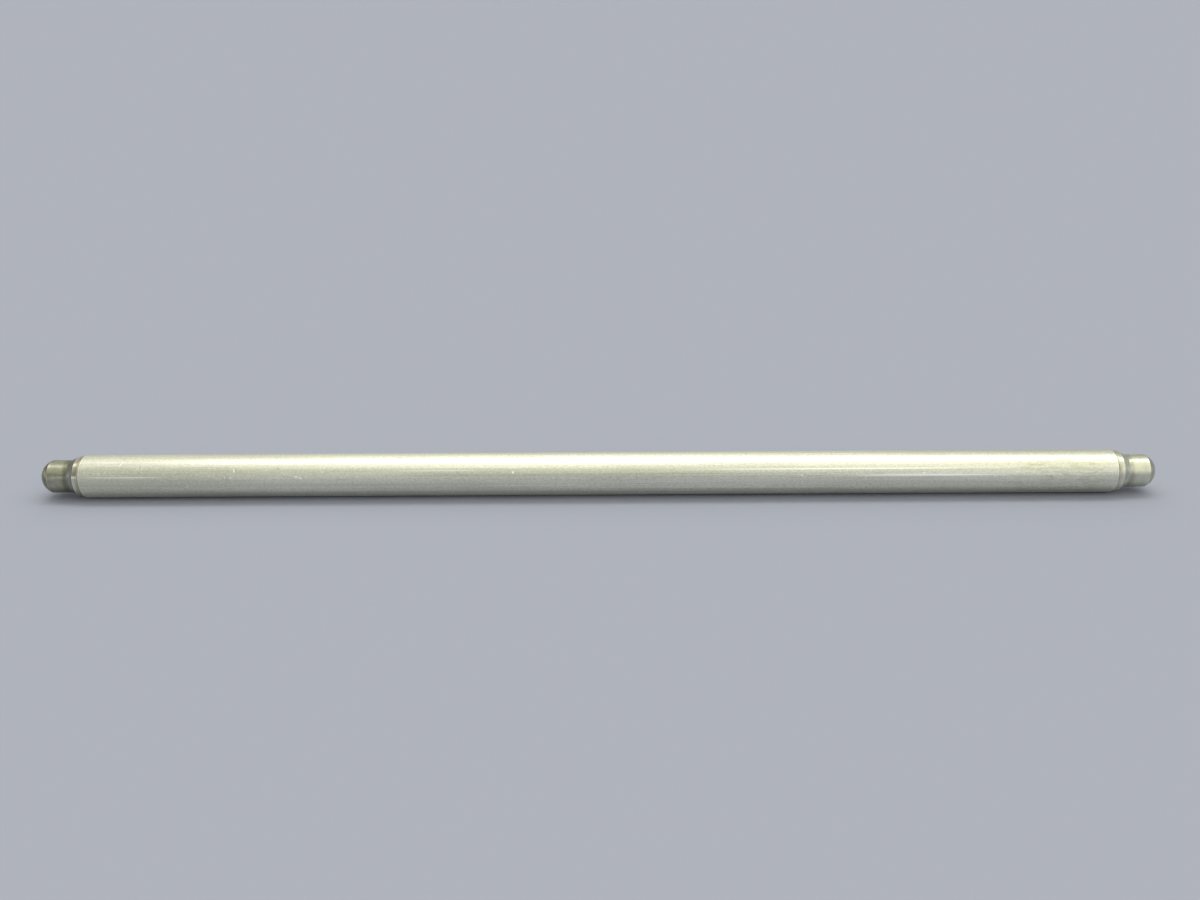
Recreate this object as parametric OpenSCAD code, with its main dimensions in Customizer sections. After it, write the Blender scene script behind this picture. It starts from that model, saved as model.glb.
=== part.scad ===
// Engine pushrod: a drawn aluminium tube with a hardened steel ball end pressed into each of its ends.
// The rod's axis is X, the middle of the rod is the origin, and every size is in millimetres.

/* [Tube] */
// Outside diameter of the drawn tube
tube_od = 11.11; // [10:0.01:14]
// Thickness of the tube's wall
tube_wall = 2; // [1:0.1:3]
// Length of the tube between its end faces
tube_length = 267.2; // [120:0.1:400]
// Broken edge around the outside of each end face
tube_edge = 0.25; // [0.1:0.05:0.8]
// Lead-in around each mouth of the bore
bore_lead = 0.3; // [0.1:0.05:0.8]

/* [Pressed shank] */
// How far each shank reaches into the tube
shank_length = 14; // [6:0.5:30]
// Lead-in around the inner end of the shank
shank_lead = 0.8; // [0.2:0.1:1.2]
// Radial clearance between shank and bore, none where the joint is pressed
press_clearance = 0; // [0:0.005:0.05]

/* [Collar and shoulder] */
// How far the collar lies below the tube's surface
collar_step = 0.15; // [0.05:0.05:0.5]
// Length of the collar that seats against the tube
collar_length = 1.6; // [1:0.05:4]
// Fall of the collar's radius towards the shoulder
collar_fall = 0.25; // [0.05:0.05:0.4]
// Broken edge of the collar beside the tube
collar_edge = 0.15; // [0.05:0.05:0.4]
// Rounding between collar and shoulder
collar_round = 0.3; // [0.1:0.05:0.6]
// Slope of the shoulder against the rod's axis
shoulder_angle = 26; // [20:1:45]
// Fillet that runs the shoulder into the nose
neck_fillet = 1.2; // [0.5:0.1:4]

/* [Nose and ball face] */
// Diameter of the ground nose
nose_d = 8.47; // [7:0.01:9]
// Diameter of the ball that the end face is ground to
ball_d = 9.3; // [8.8:0.1:12]
// Distance from the tube's end face to the pole of the ball
ball_reach = 11.35; // [9.5:0.05:16]
// Rounding between nose and ball face
nose_round = 0.3; // [0.1:0.05:0.8]

/* [Oil way] */
// Diameter of the oil hole through each ball end
oil_hole_d = 2.4; // [1.5:0.1:3.5]
// Countersink around the oil hole in the ball face
oil_mouth = 0.3; // [0.1:0.05:0.6]

/* [Hidden] */
$fn = 128;
aluminium_colour = [0.78, 0.77, 0.71];
steel_colour = [0.42, 0.40, 0.34];
// How far a rounding reaches past the edges it joins, so that they meet in one clean line
blend = 0.0005;

tube_r = tube_od / 2;
bore_r = tube_r - tube_wall;
tube_end = tube_length / 2;
shank_r = bore_r - press_clearance;
oil_r = oil_hole_d / 2;

// The collar narrows slightly from the tube to the corner where the shoulder starts
collar_r = tube_r - collar_step;
collar_corner = [collar_r - collar_fall, collar_length];
collar_slope = atan2(collar_fall, collar_length - collar_edge);
collar_round_at = round_centre(collar_corner, collar_round, collar_slope, shoulder_angle);

// The neck fillet touches the shoulder and the nose
nose_r = nose_d / 2;
neck_corner = [nose_r, collar_length + (collar_corner[0] - nose_r) / tan(shoulder_angle)];
neck_at = neck_corner + neck_fillet * [1, tan(shoulder_angle / 2)];
neck_start = neck_at - (neck_fillet - blend) * direction(shoulder_angle);
neck_end = neck_at - neck_fillet * direction(0);

// The ball face is cut by the oil hole, so the end of the rod is the rim of the countersink
ball_r = ball_d / 2;
ball_at = [0, ball_reach - ball_r];
nose_inset = nose_round - blend;
nose_round_at = [nose_r - nose_inset, ball_at[1] + leg(ball_r - nose_inset, nose_r - nose_inset)];
nose_round_end = atan2(nose_round_at[1] - ball_at[1], nose_round_at[0]);
mouth_r = oil_r + oil_mouth;
mouth_at = ball_at[1] + leg(ball_r, mouth_r);

function direction(angle) = [cos(angle), sin(angle)];

// Third side of a right triangle
function leg(longest, other) = sqrt(longest * longest - other * other);

// Centre of a rounding inside the corner of two edges, given which way each edge faces
function round_centre(corner, radius, angle_a, angle_b) =
    corner - (radius - blend) / cos((angle_b - angle_a) / 2) * direction((angle_a + angle_b) / 2);

// What a rounding takes off a corner, between the two ways that its edges face
module corner_waste(centre, radius, angle_a, angle_b) {
    reach = 2 * radius;
    difference() {
        polygon([centre, centre + reach * direction(angle_a), centre + reach * direction(angle_b)]);
        translate(centre)
            circle(radius);
    }
}

// What grinding the ball face takes off the end of the nose
module ball_waste() {
    translate(ball_at)
        difference() {
            square([ball_r, ball_d]);
            circle(ball_r);
        }
}

// What the countersink takes off around the oil hole
module mouth_waste() {
    polygon([
        [oil_r - oil_mouth, mouth_at - 2 * oil_mouth],
        [mouth_r + oil_mouth, mouth_at + oil_mouth],
        [oil_r - oil_mouth, mouth_at + oil_mouth]
    ]);
}

// Half section of a ball end: radius across, distance from the tube's end face upwards
module ball_end_section() {
    difference() {
        polygon([
            [oil_r, -shank_length],
            [shank_r - shank_lead, -shank_length],
            [shank_r, shank_lead - shank_length],
            [shank_r, 0],
            [collar_r - collar_edge, 0],
            [collar_r, collar_edge],
            collar_corner,
            neck_start,
            neck_at,
            neck_end,
            [nose_r, ball_reach],
            [oil_r, ball_reach]
        ]);
        translate(neck_at)
            circle(neck_fillet);
        corner_waste(collar_round_at, collar_round, collar_slope, shoulder_angle);
        ball_waste();
        corner_waste(nose_round_at, nose_round, 0, nose_round_end);
        mouth_waste();
    }
}

// Half section of the tube: radius across, distance from the middle of the rod upwards
module tube_section() {
    polygon([
        [bore_r, bore_lead - tube_end],
        [bore_r + bore_lead, -tube_end],
        [tube_r - tube_edge, -tube_end],
        [tube_r, tube_edge - tube_end],
        [tube_r, tube_end - tube_edge],
        [tube_r - tube_edge, tube_end],
        [bore_r + bore_lead, tube_end],
        [bore_r, tube_end - bore_lead]
    ]);
}

// One ball end, turned from a single bar, standing on the tube's end face
module ball_end() {
    rotate_extrude()
        ball_end_section();
}

// The drawn tube
module tube() {
    color(aluminium_colour)
        rotate([0, 90, 0])
            rotate_extrude()
                tube_section();
}

// The ball end that stands in the tappet's cup
module tappet_end() {
    color(steel_colour)
        translate([-tube_end, 0, 0])
            rotate([0, -90, 0])
                ball_end();
}

// The ball end that carries the rocker arm's cup
module rocker_end() {
    color(steel_colour)
        translate([tube_end, 0, 0])
            rotate([0, 90, 0])
                ball_end();
}

tube();
tappet_end();
rocker_end();
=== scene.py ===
"""Looks of a used engine pushrod: a drawn aluminium tube with a pressed-in steel ball end at each end."""

import math

import bmesh
import bpy
from bpy.props import FloatProperty, FloatVectorProperty, IntProperty, PointerProperty
from mathutils import Euler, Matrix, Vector


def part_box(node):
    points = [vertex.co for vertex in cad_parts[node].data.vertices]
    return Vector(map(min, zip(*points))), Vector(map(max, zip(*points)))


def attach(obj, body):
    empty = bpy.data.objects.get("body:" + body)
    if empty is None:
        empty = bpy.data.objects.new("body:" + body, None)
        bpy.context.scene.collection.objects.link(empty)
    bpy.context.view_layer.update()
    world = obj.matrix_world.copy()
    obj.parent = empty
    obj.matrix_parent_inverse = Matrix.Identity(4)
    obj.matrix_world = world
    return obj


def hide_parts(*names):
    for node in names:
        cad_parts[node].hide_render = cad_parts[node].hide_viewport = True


bl_info = {
    "name": "Engine pushrod",
    "version": (1, 0, 0),
    "blender": (4, 5, 0),
    "location": "View3D > Sidebar > Pushrod",
    "description": "Builds the tube, the ball ends and the stage of an engine pushrod",
    "category": "Object",
}

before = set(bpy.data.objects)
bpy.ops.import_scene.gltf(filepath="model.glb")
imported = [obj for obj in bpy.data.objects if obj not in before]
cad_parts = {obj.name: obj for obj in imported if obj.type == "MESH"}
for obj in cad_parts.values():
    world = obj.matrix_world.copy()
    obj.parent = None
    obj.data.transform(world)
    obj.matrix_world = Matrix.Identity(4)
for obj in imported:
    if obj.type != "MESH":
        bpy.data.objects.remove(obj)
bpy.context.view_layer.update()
TUBE_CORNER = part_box("tube")[1]

MM = 0.001

# Each turned piece is unrolled into strips on this UV map, with clear margins at their ends and sides
BAKE_MAP = "OFBake"
STRIP_END_MARGIN = 0.004
STRIP_SIDE_MARGIN = 0.02

# Longest stretch between two rings of a turned mesh, and how close a ring holds each edge, in metres
TUBE_RINGS = (3 * MM, 0.06 * MM)
BALL_END_RINGS = (0.3 * MM, 0.04 * MM)
ROUNDING_STEPS = 5
BALL_FACE_STEPS = 28
FLOOR_SIDES = 96

# Marks on the tube: millimetres along the rod, degrees around it from the front, half length and half width
# in millimetres, slant as length for each width, and strength
BRIGHT_TICKS = (
    (-122.6, 57, 0.22, 0.98, 0.35, 0.65),
    (-117.0, 44, 0.27, 0.29, 0.0, 0.5),
    (-105.5, -4, 0.24, 0.59, -0.2, 0.6),
    (-94.2, 18, 0.35, 0.31, 0.0, 0.9),
    (-93.3, 38, 0.32, 0.78, -0.3, 0.8),
    (-77.4, 21, 0.46, 0.31, -0.6, 0.8),
    (-76.3, 17, 0.30, 0.44, -0.45, 0.9),
    (-71.1, 42, 0.22, 1.04, 0.0, 0.4),
    (-21.7, 31, 0.41, 0.47, 0.5, 1.0),
    (-21.9, -8, 0.27, 0.65, 0.15, 0.3),
    (-7.6, -6, 0.38, 0.31, 0.0, 0.9),
    (-14.8, 112, 0.54, 0.52, 0.4, 0.9),
    (12.3, -8, 0.35, 0.34, 0.0, 0.4),
    (15.2, -8, 0.30, 0.34, 0.0, 0.4),
    (52.2, 18, 0.35, 0.34, 0.0, 0.9),
    (83.5, 23, 0.62, 0.34, 0.5, 0.5),
)
# Painted reflections: bright lines along the tube where thin lights reflect, coloured as bare metal
PAINTED_REFLECTION_LINES = (
    (-121.5, 20, 13.0, 0.22, 0.0, 0.6),
    (-42.0, 34, 14.0, 0.22, 0.0, 0.6),
    (60.0, 34, 46.0, 0.26, 0.0, 0.8),
    (84.0, 16, 23.0, 0.34, 0.0, 1.0),
)
DARK_SPOTS = (
    (-82.1, 42, 0.50, 0.42, 0.0, 0.22),
    (38.2, 85, 0.24, 0.24, 0.0, 0.8),
)
# Scattered nicks: how many there can be to the millimetre, and their size in millimetres
NICKS = (
    (0.7, 0.20),
    (1.6, 0.14),
)

# Stretches over which the tube's finish changes, in millimetres along the rod from its middle
SCUFFS_FADE = (-95.0, -55.0)
SHADE_FADES = (-125.0, -75.0)
DULLNESS_FADES = (-125.0, -85.0)
STAIN_STARTS = (98.0, 116.0)
STAIN_STOPS = (128.0, 132.0)
# Burnished rim, in millimetres from the tube's end face: where it starts and where it is full
RIM_START, RIM_FULL = 0.42, 0.30

# Long light panels: degrees from overhead, positive behind the rod, and half width in degrees
OVERHEAD_PLACE = (10.5, 8.0)
FRONT_PLACE = (-74.0, 2.0)
# Height over which the plain walls pass into the lit room, as the upward part of a direction
WALL_TOP = (0.20, 0.36)

# Width in millimetres of the sensor that the lens is given for, and how near the camera sees, in metres
SENSOR_WIDTH = 36.0
NEAREST_SEEN = 0.01


def length_setting(name, description, default):
    return FloatProperty(name=name, description=description, default=default, unit="LENGTH", precision=5)


def angle_setting(name, description, degrees):
    return FloatProperty(name=name, description=description, default=math.radians(degrees), subtype="ANGLE")


def share_setting(name, description, default):
    return FloatProperty(name=name, description=description, default=default, subtype="FACTOR", min=0, max=1)


def colour_setting(name, description, default):
    return FloatVectorProperty(
        name=name, description=description, default=default, subtype="COLOR", min=0, max=1)


def brightness_setting(name, description, default):
    return FloatProperty(name=name, description=description, default=default, min=0)


class PushrodSizes(bpy.types.PropertyGroup):
    """Sizes of the three pieces, as built in the solids"""

    tube_radius: length_setting("Tube radius", "Outside radius of the drawn tube", TUBE_CORNER.z)
    tube_end: length_setting(
        "Tube end", "Distance from the middle of the rod to the tube's end face", TUBE_CORNER.x)
    bore_radius: length_setting("Bore radius", "Inside radius of the tube, which the shanks fill", 3.555 * MM)
    tube_edge: length_setting("Tube edge", "Broken edge around the outside of each end face", 0.25 * MM)
    bore_lead: length_setting("Bore lead-in", "Lead-in around each mouth of the bore", 0.3 * MM)
    shank_length: length_setting("Shank length", "How far each shank reaches into the tube", 14 * MM)
    shank_lead: length_setting("Shank lead-in", "Lead-in around the inner end of the shank", 0.8 * MM)
    collar_radius: length_setting("Collar radius", "Radius of the collar beside the tube", 5.405 * MM)
    collar_length: length_setting(
        "Collar length", "Length of the collar that seats against the tube", 1.6 * MM)
    collar_fall: length_setting("Collar fall", "Fall of the collar's radius towards the shoulder", 0.25 * MM)
    collar_edge: length_setting("Collar edge", "Broken edge of the collar beside the tube", 0.15 * MM)
    collar_round: length_setting("Collar rounding", "Rounding between collar and shoulder", 0.3 * MM)
    shoulder_angle: angle_setting("Shoulder angle", "Slope of the shoulder against the rod's axis", 26)
    neck_fillet: length_setting("Neck fillet", "Fillet that runs the shoulder into the nose", 1.2 * MM)
    nose_radius: length_setting("Nose radius", "Radius of the ground nose", 4.235 * MM)
    nose_round: length_setting("Nose rounding", "Rounding between nose and ball face", 0.3 * MM)
    ball_radius: length_setting("Ball radius", "Radius that the ball face is ground to", 4.65 * MM)
    ball_reach: length_setting(
        "Ball reach", "Distance from the tube's end face to the pole of the ball", 11.35 * MM)
    oil_radius: length_setting("Oil hole radius", "Radius of the oil hole through each ball end", 1.2 * MM)
    oil_mouth: length_setting(
        "Oil hole countersink", "Countersink around the oil hole in the ball face", 0.3 * MM)
    soft_edge: length_setting("Soft edge", "Rounding that deburring leaves on each sharp edge", 0.05 * MM)
    segments: IntProperty(
        name="Segments", description="Faces around each turned piece", default=192, min=48, max=384)


class PushrodFinish(bpy.types.PropertyGroup):
    """Colours and polish of the metals"""

    aluminium: colour_setting("Aluminium", "Drawn aluminium, slightly yellowed", (0.892, 0.897, 0.772))
    aluminium_shade: colour_setting(
        "Aluminium shade", "Darker draw lines and handled patches", (0.590, 0.593, 0.494))
    # Bare metal of nicks and rims, also the colour of the painted reflection lines on the tube
    bare_metal_and_painted_reflection: colour_setting("Bare metal", "Fresh nicks, scratches and burnished rims", (1.0, 1.0, 0.96))
    oil_stain: colour_setting("Oil stain", "Baked oil streaks near the rocker end", (0.46, 0.445, 0.285))
    grime: colour_setting("Grime", "Dirt in the seams and pits", (0.07, 0.055, 0.035))
    steel: colour_setting("Steel", "Ground and hardened steel", (0.728, 0.734, 0.587))
    # Tarnish colour, also used for painted shade on the ball faces and on the nose beside the neck
    tarnish_and_shade: colour_setting("Tarnish", "Bronze film on the steel", (0.215, 0.213, 0.15))
    varnish: colour_setting("Varnish", "Brown film that hot oil leaves beside the seam", (0.32, 0.21, 0.12))
    # Colour of the painted shade on each shoulder cone
    scale: colour_setting(
        "Hardening scale", "Grey skin that hardening leaves on the shoulder", (0.075, 0.075, 0.078))
    tappet_tarnish: share_setting("Tappet end tarnish", "How far the film covers the tappet end", 0.58)
    rocker_tarnish: share_setting("Rocker end tarnish", "How far the film covers the rocker end", 0.03)
    tube_roughness: share_setting("Tube roughness", "Satin of the drawn tube", 0.36)
    tappet_roughness: share_setting("Tappet end roughness", "Polish of the tappet end's nose", 0.29)
    rocker_roughness: share_setting("Rocker end roughness", "Polish of the rocker end's nose", 0.26)


class PushrodStage(bpy.types.PropertyGroup):
    """Camera, light and floor"""

    distance: length_setting("Camera distance", "From the camera to the rod's axis", 0.2745)
    elevation: angle_setting("Camera elevation", "Height of the camera above the rod, as an angle", 24.6)
    aim: angle_setting("Camera aim", "How far above the rod the camera points, as an angle", 1.275)
    roll: angle_setting("Camera roll", "Turn of the camera about its line of sight", -0.317)
    sideways: length_setting("Camera sideways", "Shift of the camera along the rod", 0.44 * MM)
    lens: FloatProperty(
        name="Lens", description="Focal length on a 36 mm sensor", default=31.5, unit="CAMERA")
    floor: colour_setting("Floor", "Colour of the floor", (0.370, 0.386, 0.463))
    floor_radius: length_setting("Floor radius", "From the middle of the floor to its rim", 40.0)
    horizon: colour_setting(
        "Horizon", "Tone of the plain walls, as the lit floor shows", (0.433, 0.4535, 0.501))
    room: colour_setting("Room", "Warm tone of the room light", (1.0, 1.0, 0.88))
    overhead_panel: brightness_setting(
        "Overhead panel", "Brightness of the long light panel above the rod", 3.4)
    front_panel: brightness_setting("Front panel", "Brightness of the thin light panel low in front", 2.0)
    side_panel: brightness_setting(
        "Side panel", "Brightness of the small light panel beside the tappet end", 1.3)
    fill_panel: brightness_setting(
        "Fill panel", "Brightness of the wide low panel in front of the rocker end", 0.32)


class Wiring:
    """Adds shader nodes to one node tree and wires them together."""

    def __init__(self, tree):
        self.tree = tree

    def node(self, kind, inputs=(), **settings):
        """A node with its settings, and inputs as (name or number, value or socket) pairs."""
        made = self.tree.nodes.new(kind)
        for name, value in settings.items():
            setattr(made, name, value)
        for key, value in inputs:
            self.put(made.inputs[key], value)
        return made

    def put(self, socket, value):
        """Sets a socket to a value, or links it to another socket."""
        if isinstance(value, bpy.types.NodeSocket):
            self.tree.links.new(value, socket)
        elif socket.type == "RGBA" and len(value) == 3:
            socket.default_value = (*value, 1)
        else:
            socket.default_value = value

    def math(self, operation, a, b=0.0, clamp=False):
        made = self.node("ShaderNodeMath", ((0, a), (1, b)), operation=operation, use_clamp=clamp)
        return made.outputs[0]

    def vector(self, operation, a, b):
        return self.node("ShaderNodeVectorMath", ((0, a), (1, b)), operation=operation).outputs[0]

    def scaled(self, vector, factor):
        made = self.node("ShaderNodeVectorMath", ((0, vector), ("Scale", factor)), operation="SCALE")
        return made.outputs[0]

    def total(self, *values, clamp=True):
        """Sum of several values, held between 0 and 1 unless clamp is off."""
        result = values[0]
        for value in values[1:]:
            result = self.math("ADD", result, value, clamp)
        return result

    def times(self, *values):
        result = values[0]
        for value in values[1:]:
            result = self.math("MULTIPLY", result, value)
        return result

    def opposite(self, value):
        """1 where the value is 0, and 0 where it is 1."""
        return self.math("SUBTRACT", 1.0, value)

    def ease(self, value, low, high, at_low=0.0, at_high=1.0):
        """Smooth step from at_low, where value is low, to at_high, where it is high."""
        made = self.node(
            "ShaderNodeMapRange", ((0, value), (1, low), (2, high), (3, at_low), (4, at_high)),
            interpolation_type="SMOOTHSTEP")
        return made.outputs[0]

    def fade(self, value, low, high):
        """1 where value is low, falling smoothly to 0 where it is high."""
        return self.ease(value, low, high, 1.0, 0.0)

    def near(self, value, place, core, reach):
        """1 within core of a place, falling smoothly to 0 at its reach."""
        return self.fade(self.math("ABSOLUTE", self.math("SUBTRACT", value, place)), core, reach)

    def mix(self, factor, a, b):
        """Colour a where factor is 0, and b where it is 1."""
        made = self.node("ShaderNodeMix", data_type="RGBA", blend_type="MIX")
        self.put(made.inputs["Factor"], factor)
        self.put(made.inputs[6], a)
        self.put(made.inputs[7], b)
        return made.outputs[2]

    def millimetres(self):
        """Place on the object in millimetres."""
        return self.scaled(self.node("ShaderNodeTexCoord").outputs["Object"], 1 / MM)

    def noise(self, place, stretch, detail=3.0, roughness=0.55):
        """Noise whose features are 1 / stretch millimetres long on each axis."""
        made = self.node(
            "ShaderNodeTexNoise",
            (("Vector", self.vector("MULTIPLY", place, stretch)), ("Scale", 1.0), ("Detail", detail),
             ("Roughness", roughness)))
        return made.outputs[0]

    def cells(self, place, stretch):
        """Voronoi cells that are 1 / stretch millimetres long on each axis."""
        place = self.vector("MULTIPLY", place, stretch)
        return self.node("ShaderNodeTexVoronoi", (("Vector", place), ("Scale", 1.0))).outputs

    def split(self, place):
        """Distance along the rod, angle around it in degrees from the front, and distance from its axis."""
        along, depth, height = self.node("ShaderNodeSeparateXYZ", ((0, place),)).outputs
        front = self.math("MULTIPLY", depth, -1.0)
        angle = self.math("DEGREES", self.math("ARCTAN2", height, front))
        squares = self.math("ADD", self.times(depth, depth), self.times(height, height))
        return along, angle, self.math("SQRT", squares)


def mark_group():
    """Node group for one mark: how much of it lies at a place, fading towards its rim."""
    tree = bpy.data.node_groups.new("surface_mark", "ShaderNodeTree")
    inputs = ("Along", "Around", "At along", "At around", "Half length", "Half width", "Slant", "Strength")
    for name in inputs:
        tree.interface.new_socket(name, in_out="INPUT", socket_type="NodeSocketFloat")
    tree.interface.new_socket("Mask", in_out="OUTPUT", socket_type="NodeSocketFloat")
    w = Wiring(tree)
    given = w.node("NodeGroupInput").outputs
    wide = w.math("SUBTRACT", given["Around"], given["At around"])
    along = w.math("SUBTRACT", given["Along"], given["At along"])
    long = w.math("SUBTRACT", along, w.times(wide, given["Slant"]))
    long_share = w.math("DIVIDE", long, given["Half length"])
    wide_share = w.math("DIVIDE", wide, given["Half width"])
    spread = w.math("ADD", w.times(long_share, long_share), w.times(wide_share, wide_share))
    mask = w.times(w.fade(spread, 0.15, 1.0), given["Strength"])
    w.put(w.node("NodeGroupOutput").inputs[0], mask)
    return tree


def marks(w, group, along, angle, radius, table):
    """Sum of a table of marks on a round surface."""
    degree = math.radians(1) * radius / MM
    around = w.math("MULTIPLY", angle, degree)
    found = []
    for at, degrees, half_length, half_width, slant, strength in table:
        mark = w.node(
            "ShaderNodeGroup",
            (("Along", along), ("Around", around), ("At along", at), ("At around", degrees * degree),
             ("Half length", half_length), ("Half width", half_width), ("Slant", slant),
             ("Strength", strength)),
            node_tree=group)
        found.append(mark.outputs[0])
    return w.total(*found)


def new_material(name):
    """A node material without nodes, and its wiring."""
    material = bpy.data.materials.new(name)
    material.use_nodes = True
    material.node_tree.nodes.clear()
    return material, Wiring(material.node_tree)


def finish_material(w, colour, roughness, bumps, drawn=0.0):
    """Metal shader with bumps, each a height from 0 to 1, its depth and its strength.
    drawn is how far lengthwise lines stretch a highlight around the rod."""
    shader = w.node(
        "ShaderNodeBsdfPrincipled",
        (("Base Color", colour), ("Metallic", 1.0), ("Roughness", roughness), ("Anisotropic", drawn)))
    if drawn > 0:
        around = w.node("ShaderNodeTangent", direction_type="RADIAL", axis="X").outputs[0]
        w.put(shader.inputs["Tangent"], around)
    normal = shader.inputs["Normal"]
    for height, depth, strength in bumps:
        bump = w.node("ShaderNodeBump", (("Strength", strength), ("Distance", depth), ("Height", height)))
        w.put(normal, bump.outputs[0])
        normal = bump.inputs["Normal"]
    w.put(w.node("ShaderNodeOutputMaterial").inputs["Surface"], shader.outputs[0])


def nick_field(w, place, closeness, size, scuffed):
    """Small ragged nicks of one closeness and size, more of them where the metal is scuffed."""
    ragged = w.node("ShaderNodeTexNoise", (("Vector", place), ("Scale", 3.0), ("Detail", 2.0)))
    moved = w.vector("ADD", place, w.scaled(ragged.outputs["Color"], 2.2 * size))
    scatter = w.cells(moved, (0.8 * closeness, closeness, closeness))
    reach = size * closeness
    chance = w.math("ADD", scatter["Color"], scuffed)
    return w.times(w.fade(scatter["Distance"], 0.4 * reach, reach), w.ease(chance, 0.84, 0.96))


def drawn_aluminium(sizes, finish):
    """Satin tube: lengthwise draw lines, nicks, painted reflection lines, oil streaks and burnished rims."""
    material, w = new_material("drawn_aluminium")
    place = w.millimetres()
    along, angle, _ = w.split(place)

    # Drawing and handling; the last share darkens the tube towards the tappet end
    lines = w.noise(place, (0.012, 6.0, 6.0), detail=4.0)
    hairlines = w.noise(place, (0.03, 22.0, 22.0), detail=2.0)
    bands = w.noise(place, (0.010, 1.5, 1.5), detail=2.0)
    clouds = w.noise(place, (0.02, 0.16, 0.16), detail=3.0)
    grain = w.noise(place, (1.5, 3.6, 3.6), detail=3.0, roughness=0.75)
    shade = w.total(
        w.ease(lines, 0.35, 0.68, at_high=0.30), w.ease(clouds, 0.40, 0.70, at_high=0.20),
        w.ease(hairlines, 0.40, 0.72, at_high=0.25), w.ease(grain, 0.40, 0.64, at_high=0.55),
        w.ease(bands, 0.45, 0.70, at_high=0.25), w.ease(along, *SHADE_FADES, 0.28, 0.0))

    # Nicks and burnished rims, and painted reflections: bright lines where thin lights reflect along the tube
    group = mark_group()
    ticks, painted_reflection_lines, spots = (
        marks(w, group, along, angle, sizes.tube_radius, table)
        for table in (BRIGHT_TICKS, PAINTED_REFLECTION_LINES, DARK_SPOTS))
    scuffed = w.times(w.ease(along, *SCUFFS_FADE, 0.24, 0.0), w.ease(angle, 0.0, 25.0, 0.4, 1.0))
    nicks = w.total(*(nick_field(w, place, closeness, size, scuffed) for closeness, size in NICKS))
    end = sizes.tube_end / MM
    rim = w.ease(w.math("ABSOLUTE", along), end - RIM_START, end - RIM_FULL, at_high=0.8)
    bright = w.total(ticks, painted_reflection_lines, nicks, rim)

    # Oil streaks, mostly on the front
    streaks = w.ease(w.noise(place, (0.32, 1.5, 1.5), detail=5.0, roughness=0.7), 0.44, 0.66)
    near_end = w.times(w.ease(along, *STAIN_STARTS), w.fade(along, *STAIN_STOPS))
    stain = w.times(streaks, near_end, w.ease(angle, 35.0, 75.0, 1.0, 0.3), 0.55)

    colour = w.mix(shade, tuple(finish.aluminium), tuple(finish.aluminium_shade))
    colour = w.mix(stain, colour, tuple(finish.oil_stain))
    colour = w.mix(spots, colour, tuple(finish.grime))
    colour = w.mix(bright, colour, tuple(finish.bare_metal_and_painted_reflection))
    roughness = w.total(
        finish.tube_roughness - 0.06, w.times(lines, 0.12), w.ease(along, *DULLNESS_FADES, 0.09, 0.0),
        w.times(stain, 0.08), w.times(bright, -0.12), clamp=False)
    drawing = w.total(w.times(lines, 0.35), w.times(hairlines, 0.15), w.times(grain, 0.50))
    whole = w.opposite(w.total(ticks, nicks))
    bumps = ((drawing, 0.02 * MM, 0.7), (whole, 0.07 * MM, 0.9))
    finish_material(w, colour, roughness, bumps, drawn=0.5)
    return material


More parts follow.
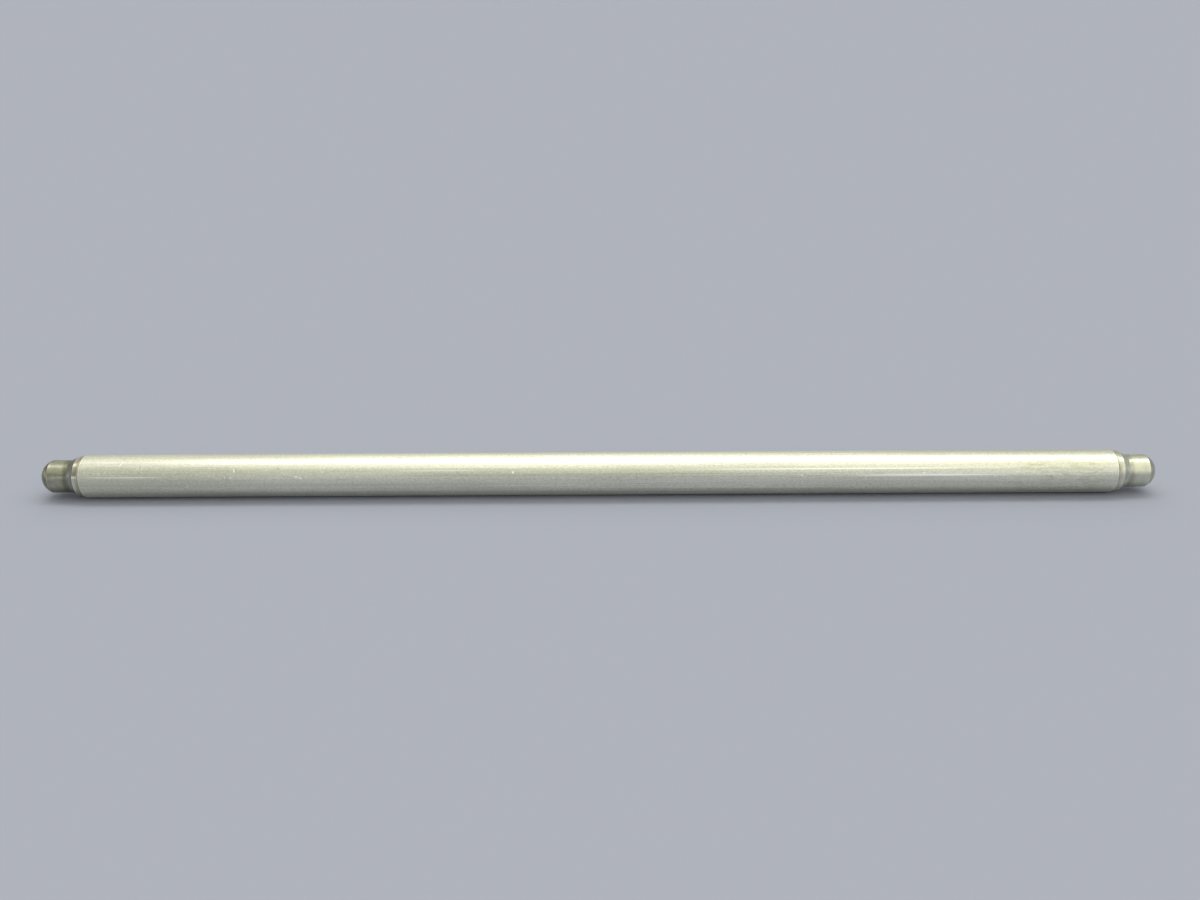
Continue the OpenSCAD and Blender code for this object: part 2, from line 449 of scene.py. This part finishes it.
def ball_steel(name, sizes, finish, cover, polish):
    """Turned and ground steel of a ball end, with its film's share and the roughness of its nose."""
    material, w = new_material(name)
    place = w.millimetres()
    along, _, out = w.split(place)
    from_seam = w.math("SUBTRACT", w.math("ABSOLUTE", along), sizes.tube_end / MM)
    corner_at = sizes.collar_length / MM
    neck_at = neck_place(sizes) / MM
    edge_at = nose_edge(sizes) / MM
    oil_radius = sizes.oil_radius / MM

    # Turning, grinding and what the surface has gathered
    tool_rings = w.noise(place, (9.0, 0.05, 0.05), detail=2.0)
    ground_rings = w.noise(place, (36.0, 0.3, 0.3), detail=2.0)
    film = w.ease(w.noise(place, (0.45, 0.35, 0.35), detail=4.0, roughness=0.6), 0.32, 0.68)
    pits = w.ease(w.noise(place, (3.4, 3.4, 3.4), detail=1.0), 0.72, 0.77)

    # Zones of the profile, in millimetres from the seam or from the axis
    past_corner = w.ease(from_seam, corner_at - 0.08, corner_at + 0.08)
    past_neck = w.ease(from_seam, neck_at - 0.25, neck_at + 0.45)
    ball = w.ease(from_seam, edge_at - 0.05, edge_at + 0.12)
    shoulder = w.math("SUBTRACT", past_corner, past_neck, clamp=True)
    turned = w.opposite(past_neck)
    seat_band = w.fade(from_seam, 0.45, 0.85)
    seam = w.fade(from_seam, 0.04, 0.14)
    collar = w.opposite(past_corner)
    corner_line = w.near(from_seam, corner_at - 0.2, 0.12, 0.30)
    edge_line = w.near(from_seam, edge_at, 0.05, 0.16)
    worn = w.times(ball, w.fade(out, 2.2, 3.2))
    # The walls of the oil hole are coloured grime-dark
    oil_hole = w.fade(out, oil_radius + 0.02, oil_radius + 0.10)
    # Painted shade on the nose beside the neck, fading outwards
    neck_shade = w.times(past_neck, w.ease(from_seam, neck_at + 0.3, neck_at + 1.6, 0.35, 0.0))

    # Painted shade: the ball face is darkened with the tarnish colour, as is the nose beside the neck; the
    # rest of this share is the real tarnish film
    tarnish_and_shade_share = w.total(
        w.times(film, 0.25), cover, w.times(seat_band, 0.08 + 0.2 * cover), w.times(ball, 0.35), neck_shade)
    lifted = w.total(
        w.times(worn, 0.5), w.times(corner_line, 0.25), w.times(edge_line, 0.25),
        w.times(collar, 0.7 * cover))
    tarnish_and_shade_share = w.math("SUBTRACT", tarnish_and_shade_share, lifted, clamp=True)
    # Painted shade on the shoulder, stronger at the tarnished end
    shoulder_shade_share = w.math("ADD", w.times(film, 0.25), 0.05 + 0.68 * cover)
    dirt_and_dark_hole = w.total(w.times(seam, 0.15 + 0.15 * cover), w.times(pits, 0.4), oil_hole)
    colour = w.mix(tarnish_and_shade_share, tuple(finish.steel), tuple(finish.tarnish_and_shade))
    colour = w.mix(w.times(shoulder, shoulder_shade_share), colour, tuple(finish.scale))
    colour = w.mix(w.times(seat_band, film, 0.35 + 0.2 * cover), colour, tuple(finish.varnish))
    colour = w.mix(w.times(tool_rings, turned, 0.14), colour, tuple(finish.bare_metal_and_painted_reflection))
    colour = w.mix(dirt_and_dark_hole, colour, tuple(finish.grime))

    matt = w.total(
        w.times(shoulder, 0.07), w.times(seat_band, 0.12), w.times(film, 0.06), w.times(dirt_and_dark_hole, 0.5))
    roughness = w.total(
        polish - 0.02, w.times(ground_rings, 0.05), matt, w.times(collar, -0.2 * cover), clamp=False)
    height = w.total(
        w.times(tool_rings, turned, 0.45), w.times(ground_rings, 0.10), w.times(w.opposite(pits), 0.40))
    finish_material(w, colour, roughness, ((height, 0.012 * MM, 0.3),))
    return material


def neck_place(s):
    """Distance from the tube's end face to where shoulder and nose would meet in a sharp corner."""
    return s.collar_length + (s.collar_radius - s.collar_fall - s.nose_radius) / math.tan(s.shoulder_angle)


def nose_edge(s):
    """Distance from the tube's end face to the rounding between nose and ball face."""
    inset = s.ball_radius - s.nose_round
    return s.ball_reach - s.ball_radius + math.sqrt(inset ** 2 - (s.nose_radius - s.nose_round) ** 2)


def arc(centre, radius, start, stop, steps):
    """Points of a circular arc, in degrees, as (distance along, radius) pairs."""
    points = []
    for step in range(steps + 1):
        turn = math.radians(start + (stop - start) * step / steps)
        points.append(Vector((centre[0] + radius * math.sin(turn), centre[1] + radius * math.cos(turn))))
    return points


def rounded(corners):
    """An outline of (distance along, radius, rounding) corners with each corner rounded."""
    points = []
    for index, (*corner, rounding) in enumerate(corners):
        here = Vector(corner)
        if rounding <= 0 or index in (0, len(corners) - 1):
            points.append(here)
            continue
        before = (Vector(corners[index - 1][:2]) - here).normalized()
        after = (Vector(corners[index + 1][:2]) - here).normalized()
        half = before.angle(after) / 2
        centre = here + (before + after).normalized() * rounding / math.sin(half)
        first = here + before * rounding / math.tan(half) - centre
        last = here + after * rounding / math.tan(half) - centre
        sweep = math.pi - 2 * half
        for step in range(ROUNDING_STEPS + 1):
            turn = sweep * step / ROUNDING_STEPS
            spoke = (first * math.sin(sweep - turn) + last * math.sin(turn)) / math.sin(sweep)
            points.append(centre + spoke)
    return points


def with_rings(points, longest, hold):
    """The closed outline with more points, so that no stretch is longer than this and its ends are held."""
    finer = []
    for index, here in enumerate(points):
        there = points[(index + 1) % len(points)]
        length = (there - here).length
        finer.append(here)
        if length < 3 * hold:
            continue
        count = math.ceil(length / longest)
        between = [length * k / count for k in range(1, count)]
        stops = {hold, length - hold, *(stop for stop in between if hold <= stop <= length - hold)}
        for stop in sorted(stops):
            finer.append(here + (there - here) * stop / length)
    return finer


def lathe(name, outline, segments, start, way, cuts):
    """A turned piece: the closed outline of (distance along, radius) spun about the rod's axis.
    way is 1 or -1 along X, and cuts are the outline's points where the bake map's strips begin and end."""
    mesh = bmesh.new()
    bake = mesh.loops.layers.uv.new(BAKE_MAP)
    rings = []
    for along, radius in outline:
        ring = []
        for step in range(segments):
            turn = 2 * math.pi * step / segments + math.pi
            place = (start + way * along, -radius * math.cos(turn), radius * math.sin(turn))
            ring.append(mesh.verts.new(place))
        rings.append(ring)
    strips = list(zip(cuts, cuts[1:]))
    for row, (first, last) in enumerate(strips):
        reach = [0.0]
        for index in range(first, last):
            reach.append(reach[-1] + (outline[(index + 1) % len(outline)] - outline[index]).length)
        for index in range(first, last):
            here, there = rings[index], rings[(index + 1) % len(rings)]
            u = [
                STRIP_END_MARGIN + (1 - 2 * STRIP_END_MARGIN) * reach[k] / reach[-1]
                for k in (index - first, index - first + 1)]
            for step in range(segments):
                after = (step + 1) % segments
                face = mesh.faces.new((here[step], there[step], there[after], here[after]))
                face.smooth = True
                v = [
                    (row + STRIP_SIDE_MARGIN + (1 - 2 * STRIP_SIDE_MARGIN) * k / segments) / len(strips)
                    for k in (step, step + 1)]
                corners = ((u[0], v[0]), (u[1], v[0]), (u[1], v[1]), (u[0], v[1]))
                for loop, corner in zip(face.loops, corners):
                    loop[bake].uv = corner
    bmesh.ops.recalc_face_normals(mesh, faces=mesh.faces)
    return new_object(name, mesh)


def new_object(name, mesh):
    """An object made of a finished bmesh."""
    data = bpy.data.meshes.new(name)
    mesh.to_mesh(data)
    mesh.free()
    made = bpy.data.objects.new(name, data)
    bpy.context.collection.objects.link(made)
    return made


def dress(piece, node, material):
    """Puts the piece in its node's place, riding on the rod."""
    piece.data.materials.append(material)
    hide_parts(node)
    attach(piece, "root")


def tube_outline(s):
    """Section of the tube as a closed outline, the outside first."""
    end, soft = s.tube_end, s.soft_edge
    corners = [
        (0.0, s.tube_radius, 0),
        (end - s.tube_edge, s.tube_radius, soft),
        (end, s.tube_radius - s.tube_edge, soft),
        (end, s.bore_radius + s.bore_lead, soft),
        (end - s.bore_lead, s.bore_radius, soft),
        (0.0, s.bore_radius, 0),
    ]
    half = rounded(corners)
    other = [Vector((-p.x, p.y)) for p in reversed(half[1:-1])]
    return half + other


def ball_end_outline(s):
    """Section of a ball end as a closed outline from the shank's inner end.
    Its distances are measured from the tube's end face."""
    soft = s.soft_edge
    corner_radius = s.collar_radius - s.collar_fall
    ball_at = s.ball_reach - s.ball_radius
    edge_radius = s.nose_radius - s.nose_round
    edge_at = nose_edge(s)
    edge_turn = math.degrees(math.atan2(edge_at - ball_at, edge_radius))
    mouth_radius = s.oil_radius + s.oil_mouth
    mouth_turn = math.degrees(math.acos(mouth_radius / s.ball_radius))
    corners = [
        (-s.shank_length, s.oil_radius, 0),
        (-s.shank_length, s.bore_radius - s.shank_lead, soft),
        (-s.shank_length + s.shank_lead, s.bore_radius, soft),
        (0.0, s.bore_radius, 0),
        (0.0, s.collar_radius - s.collar_edge, soft),
        (s.collar_edge, s.collar_radius, soft),
        (s.collar_length, corner_radius, s.collar_round),
        (neck_place(s), s.nose_radius, s.neck_fillet),
        (edge_at, s.nose_radius, 0),
    ]
    points = rounded(corners)
    points += arc((edge_at, edge_radius), s.nose_round, 0, edge_turn, ROUNDING_STEPS)[1:]
    points += arc((ball_at, 0.0), s.ball_radius, edge_turn, mouth_turn, BALL_FACE_STEPS)[1:]
    points.append(Vector((points[-1].x - s.oil_mouth, s.oil_radius)))
    return points


class PUSHROD_OT_tube(bpy.types.Operator):
    """Builds the drawn tube between the two ball ends"""

    bl_idname = "pushrod.tube"
    bl_label = "Tube"
    bl_options = {"REGISTER", "UNDO"}

    def execute(self, context):
        sizes = context.scene.pushrod_sizes
        outline = with_rings(tube_outline(sizes), *TUBE_RINGS)
        mouth_radius = sizes.bore_radius + sizes.bore_lead + sizes.soft_edge
        in_bore = [point.y <= mouth_radius for point in outline]
        start = in_bore.index(True)
        outline = outline[start:] + outline[:start]
        outside = sum(in_bore)
        third = (len(outline) - outside) // 3
        cuts = (0, outside, outside + third, outside + 2 * third, len(outline))
        piece = lathe("drawn_tube", outline, sizes.segments, 0.0, 1, cuts)
        dress(piece, "tube", drawn_aluminium(sizes, context.scene.pushrod_finish))
        return {"FINISHED"}


class PUSHROD_OT_ball_ends(bpy.types.Operator):
    """Builds the two steel ball ends with their pressed shanks"""

    bl_idname = "pushrod.ball_ends"
    bl_label = "Ball ends"
    bl_options = {"REGISTER", "UNDO"}

    def execute(self, context):
        sizes = context.scene.pushrod_sizes
        finish = context.scene.pushrod_finish
        outline = with_rings(ball_end_outline(sizes), *BALL_END_RINGS)
        seat = next(index for index, point in enumerate(outline) if point.x >= 0)
        cuts = (0, seat, len(outline))
        ends = (
            ("tappet_end", -1, finish.tappet_tarnish, finish.tappet_roughness),
            ("rocker_end", 1, finish.rocker_tarnish, finish.rocker_roughness),
        )
        for node, way, cover, polish in ends:
            piece = lathe(f"{node}_steel", outline, sizes.segments, way * sizes.tube_end, way, cuts)
            dress(piece, node, ball_steel(f"{node}_ground_steel", sizes, finish, cover, polish))
        return {"FINISHED"}


class PUSHROD_OT_stage(bpy.types.Operator):
    """Sets the pale floor, the soft light and the camera"""

    bl_idname = "pushrod.stage"
    bl_label = "Stage"
    bl_options = {"REGISTER", "UNDO"}

    def execute(self, context):
        scene = context.scene
        stage = scene.pushrod_stage
        scene.view_settings.view_transform = "Standard"
        self.floor(stage, -scene.pushrod_sizes.tube_radius)
        self.world(scene, stage)
        self.camera(context, stage)
        return {"FINISHED"}

    def floor(self, stage, height):
        """Round floor, so wide that its rim lies on the horizon from every side."""
        material, w = new_material("stage_floor")
        shader = w.node(
            "ShaderNodeBsdfPrincipled",
            (("Base Color", tuple(stage.floor)), ("Roughness", 1.0), ("Specular IOR Level", 0.0)))
        w.put(w.node("ShaderNodeOutputMaterial").inputs["Surface"], shader.outputs[0])
        mesh = bmesh.new()
        rim = []
        for side in range(FLOOR_SIDES):
            turn = 2 * math.pi * side / FLOOR_SIDES
            place = (stage.floor_radius * math.cos(turn), stage.floor_radius * math.sin(turn), height)
            rim.append(mesh.verts.new(place))
        mesh.faces.new(rim)
        floor = new_object("stage_floor", mesh)
        floor.data.materials.append(material)

    def world(self, scene, stage):
        """Warm room above plain walls at the floor's tone, with light panels that the camera doesn't see.
        across, depth and up are the parts of a direction to the right, to the back and upwards."""
        world = bpy.data.worlds.new("soft_room")
        world.use_nodes = True
        world.node_tree.nodes.clear()
        w = Wiring(world.node_tree)
        direction = w.node("ShaderNodeTexCoord").outputs["Generated"]
        across, depth, up = w.node("ShaderNodeSeparateXYZ", ((0, direction),)).outputs
        in_front = w.ease(depth, -0.3, 0.2, 1.0, 0.0)
        front_right = w.times(w.ease(across, 0.0, 0.35), in_front)
        level = self.room_level(w, across, depth, up, in_front, front_right)
        light = self.panel_light(w, stage, across, depth, up, front_right)
        room = self.background(w, tuple(stage.room), level)
        walls = self.background(w, tuple(stage.horizon), 1.0)
        panels = self.background(w, (1.0, 1.0, 1.0), light)
        around = w.node("ShaderNodeMixShader", ((0, w.ease(up, *WALL_TOP)), (1, walls), (2, room)))
        lit = w.node("ShaderNodeAddShader", ((0, around.outputs[0]), (1, panels)))
        w.put(w.node("ShaderNodeOutputWorld").inputs["Surface"], lit.outputs[0])
        scene.world = world

    def room_level(self, w, across, depth, up, in_front, front_right):
        """Brightness of the room: it rises to the ceiling and the front right, and falls at both sides."""
        sides = w.times(w.ease(across, -0.75, -0.05, 0.6, 1.0), w.ease(across, 0.6, 0.95, 1.0, 0.5))
        rise = w.math("ADD", w.times(up, 0.77), w.ease(front_right, 0.0, 1.0, 0.22, 0.46))
        steeper = w.times(w.ease(up, 0.30, 0.85, -0.20, 0.24), in_front, w.opposite(front_right))
        behind = w.ease(depth, 0.2, 0.7, 1.0, w.ease(across, 0.05, 0.45, 1.6, 0.9))
        brighter = w.ease(front_right, 0.0, 1.0, 1.0, 1.2)
        return w.times(w.math("ADD", rise, steeper), sides, brighter, behind)

    def panel_light(self, w, stage, across, depth, up, front_right):
        """Brightness of the four light panels, hidden from the camera as lamps are."""
        tilt = w.math("DEGREES", w.math("ARCTAN2", depth, up))
        overhead = w.times(
            self.long_panel(w, across, tilt, *OVERHEAD_PLACE), w.ease(across, -0.6, -0.2, 0.42, 1.0),
            w.ease(across, 0.1, 0.5, 1.0, 0.7), stage.overhead_panel)
        front = w.times(
            self.long_panel(w, across, tilt, *FRONT_PLACE), w.fade(across, -0.3, -0.05), stage.front_panel)
        side = w.times(
            w.fade(across, -0.97, -0.88), w.ease(up, 0.0, 0.05), w.fade(up, 0.16, 0.30), stage.side_panel)
        fill = w.times(front_right, w.ease(up, 0.0, 0.10), w.fade(up, 0.36, 0.60), stage.fill_panel)
        unseen = w.opposite(w.node("ShaderNodeLightPath").outputs["Is Camera Ray"])
        return w.times(w.total(overhead, front, side, fill, clamp=False), unseen)

    def long_panel(self, w, across, tilt, centre, half_width):
        """A panel along the rod with soft edges, placed by its tilt from overhead in degrees."""
        wide = w.near(tilt, centre, 0.8 * half_width, 1.2 * half_width)
        return w.times(wide, w.near(across, 0.0, 0.80, 0.88))

    def background(self, w, colour, strength):
        return w.node("ShaderNodeBackground", (("Color", colour), ("Strength", strength))).outputs[0]

    def camera(self, context, stage):
        """Camera at the photograph's viewing angle."""
        seen = bpy.data.cameras.new("photo_view")
        seen.sensor_width = SENSOR_WIDTH
        seen.lens = stage.lens
        seen.clip_start = NEAREST_SEEN
        eye = bpy.data.objects.new("photo_view", seen)
        back = stage.distance * math.cos(stage.elevation)
        above = stage.distance * math.sin(stage.elevation)
        eye.location = (stage.sideways, -back, above)
        pitch = Euler((math.pi / 2 - (stage.elevation - stage.aim), 0, 0))
        roll = Euler((0, 0, stage.roll))
        eye.rotation_mode = "QUATERNION"
        eye.rotation_quaternion = pitch.to_quaternion() @ roll.to_quaternion()
        context.collection.objects.link(eye)
        context.scene.camera = eye


class PUSHROD_PT_build(bpy.types.Panel):
    """Steps that build the pushrod"""

    bl_idname = "PUSHROD_PT_build"
    bl_label = "Engine pushrod"
    bl_space_type = "VIEW_3D"
    bl_region_type = "UI"
    bl_category = "Pushrod"

    def draw(self, context):
        for operator in OPERATORS:
            self.layout.operator(operator.bl_idname)


OPERATORS = (PUSHROD_OT_tube, PUSHROD_OT_ball_ends, PUSHROD_OT_stage)
SETTINGS = (
    ("pushrod_sizes", PushrodSizes),
    ("pushrod_finish", PushrodFinish),
    ("pushrod_stage", PushrodStage),
)


def register():
    for _, group in SETTINGS:
        bpy.utils.register_class(group)
    for name, group in SETTINGS:
        setattr(bpy.types.Scene, name, PointerProperty(type=group))
    for kind in (*OPERATORS, PUSHROD_PT_build):
        bpy.utils.register_class(kind)


def unregister():
    for kind in (PUSHROD_PT_build, *reversed(OPERATORS)):
        bpy.utils.unregister_class(kind)
    for name, group in reversed(SETTINGS):
        delattr(bpy.types.Scene, name)
        bpy.utils.unregister_class(group)


def main():
    register()
    bpy.ops.pushrod.tube()
    bpy.ops.pushrod.ball_ends()
    bpy.ops.pushrod.stage()
    bpy.context.view_layer.update()


if __name__ == "__main__":
    main()
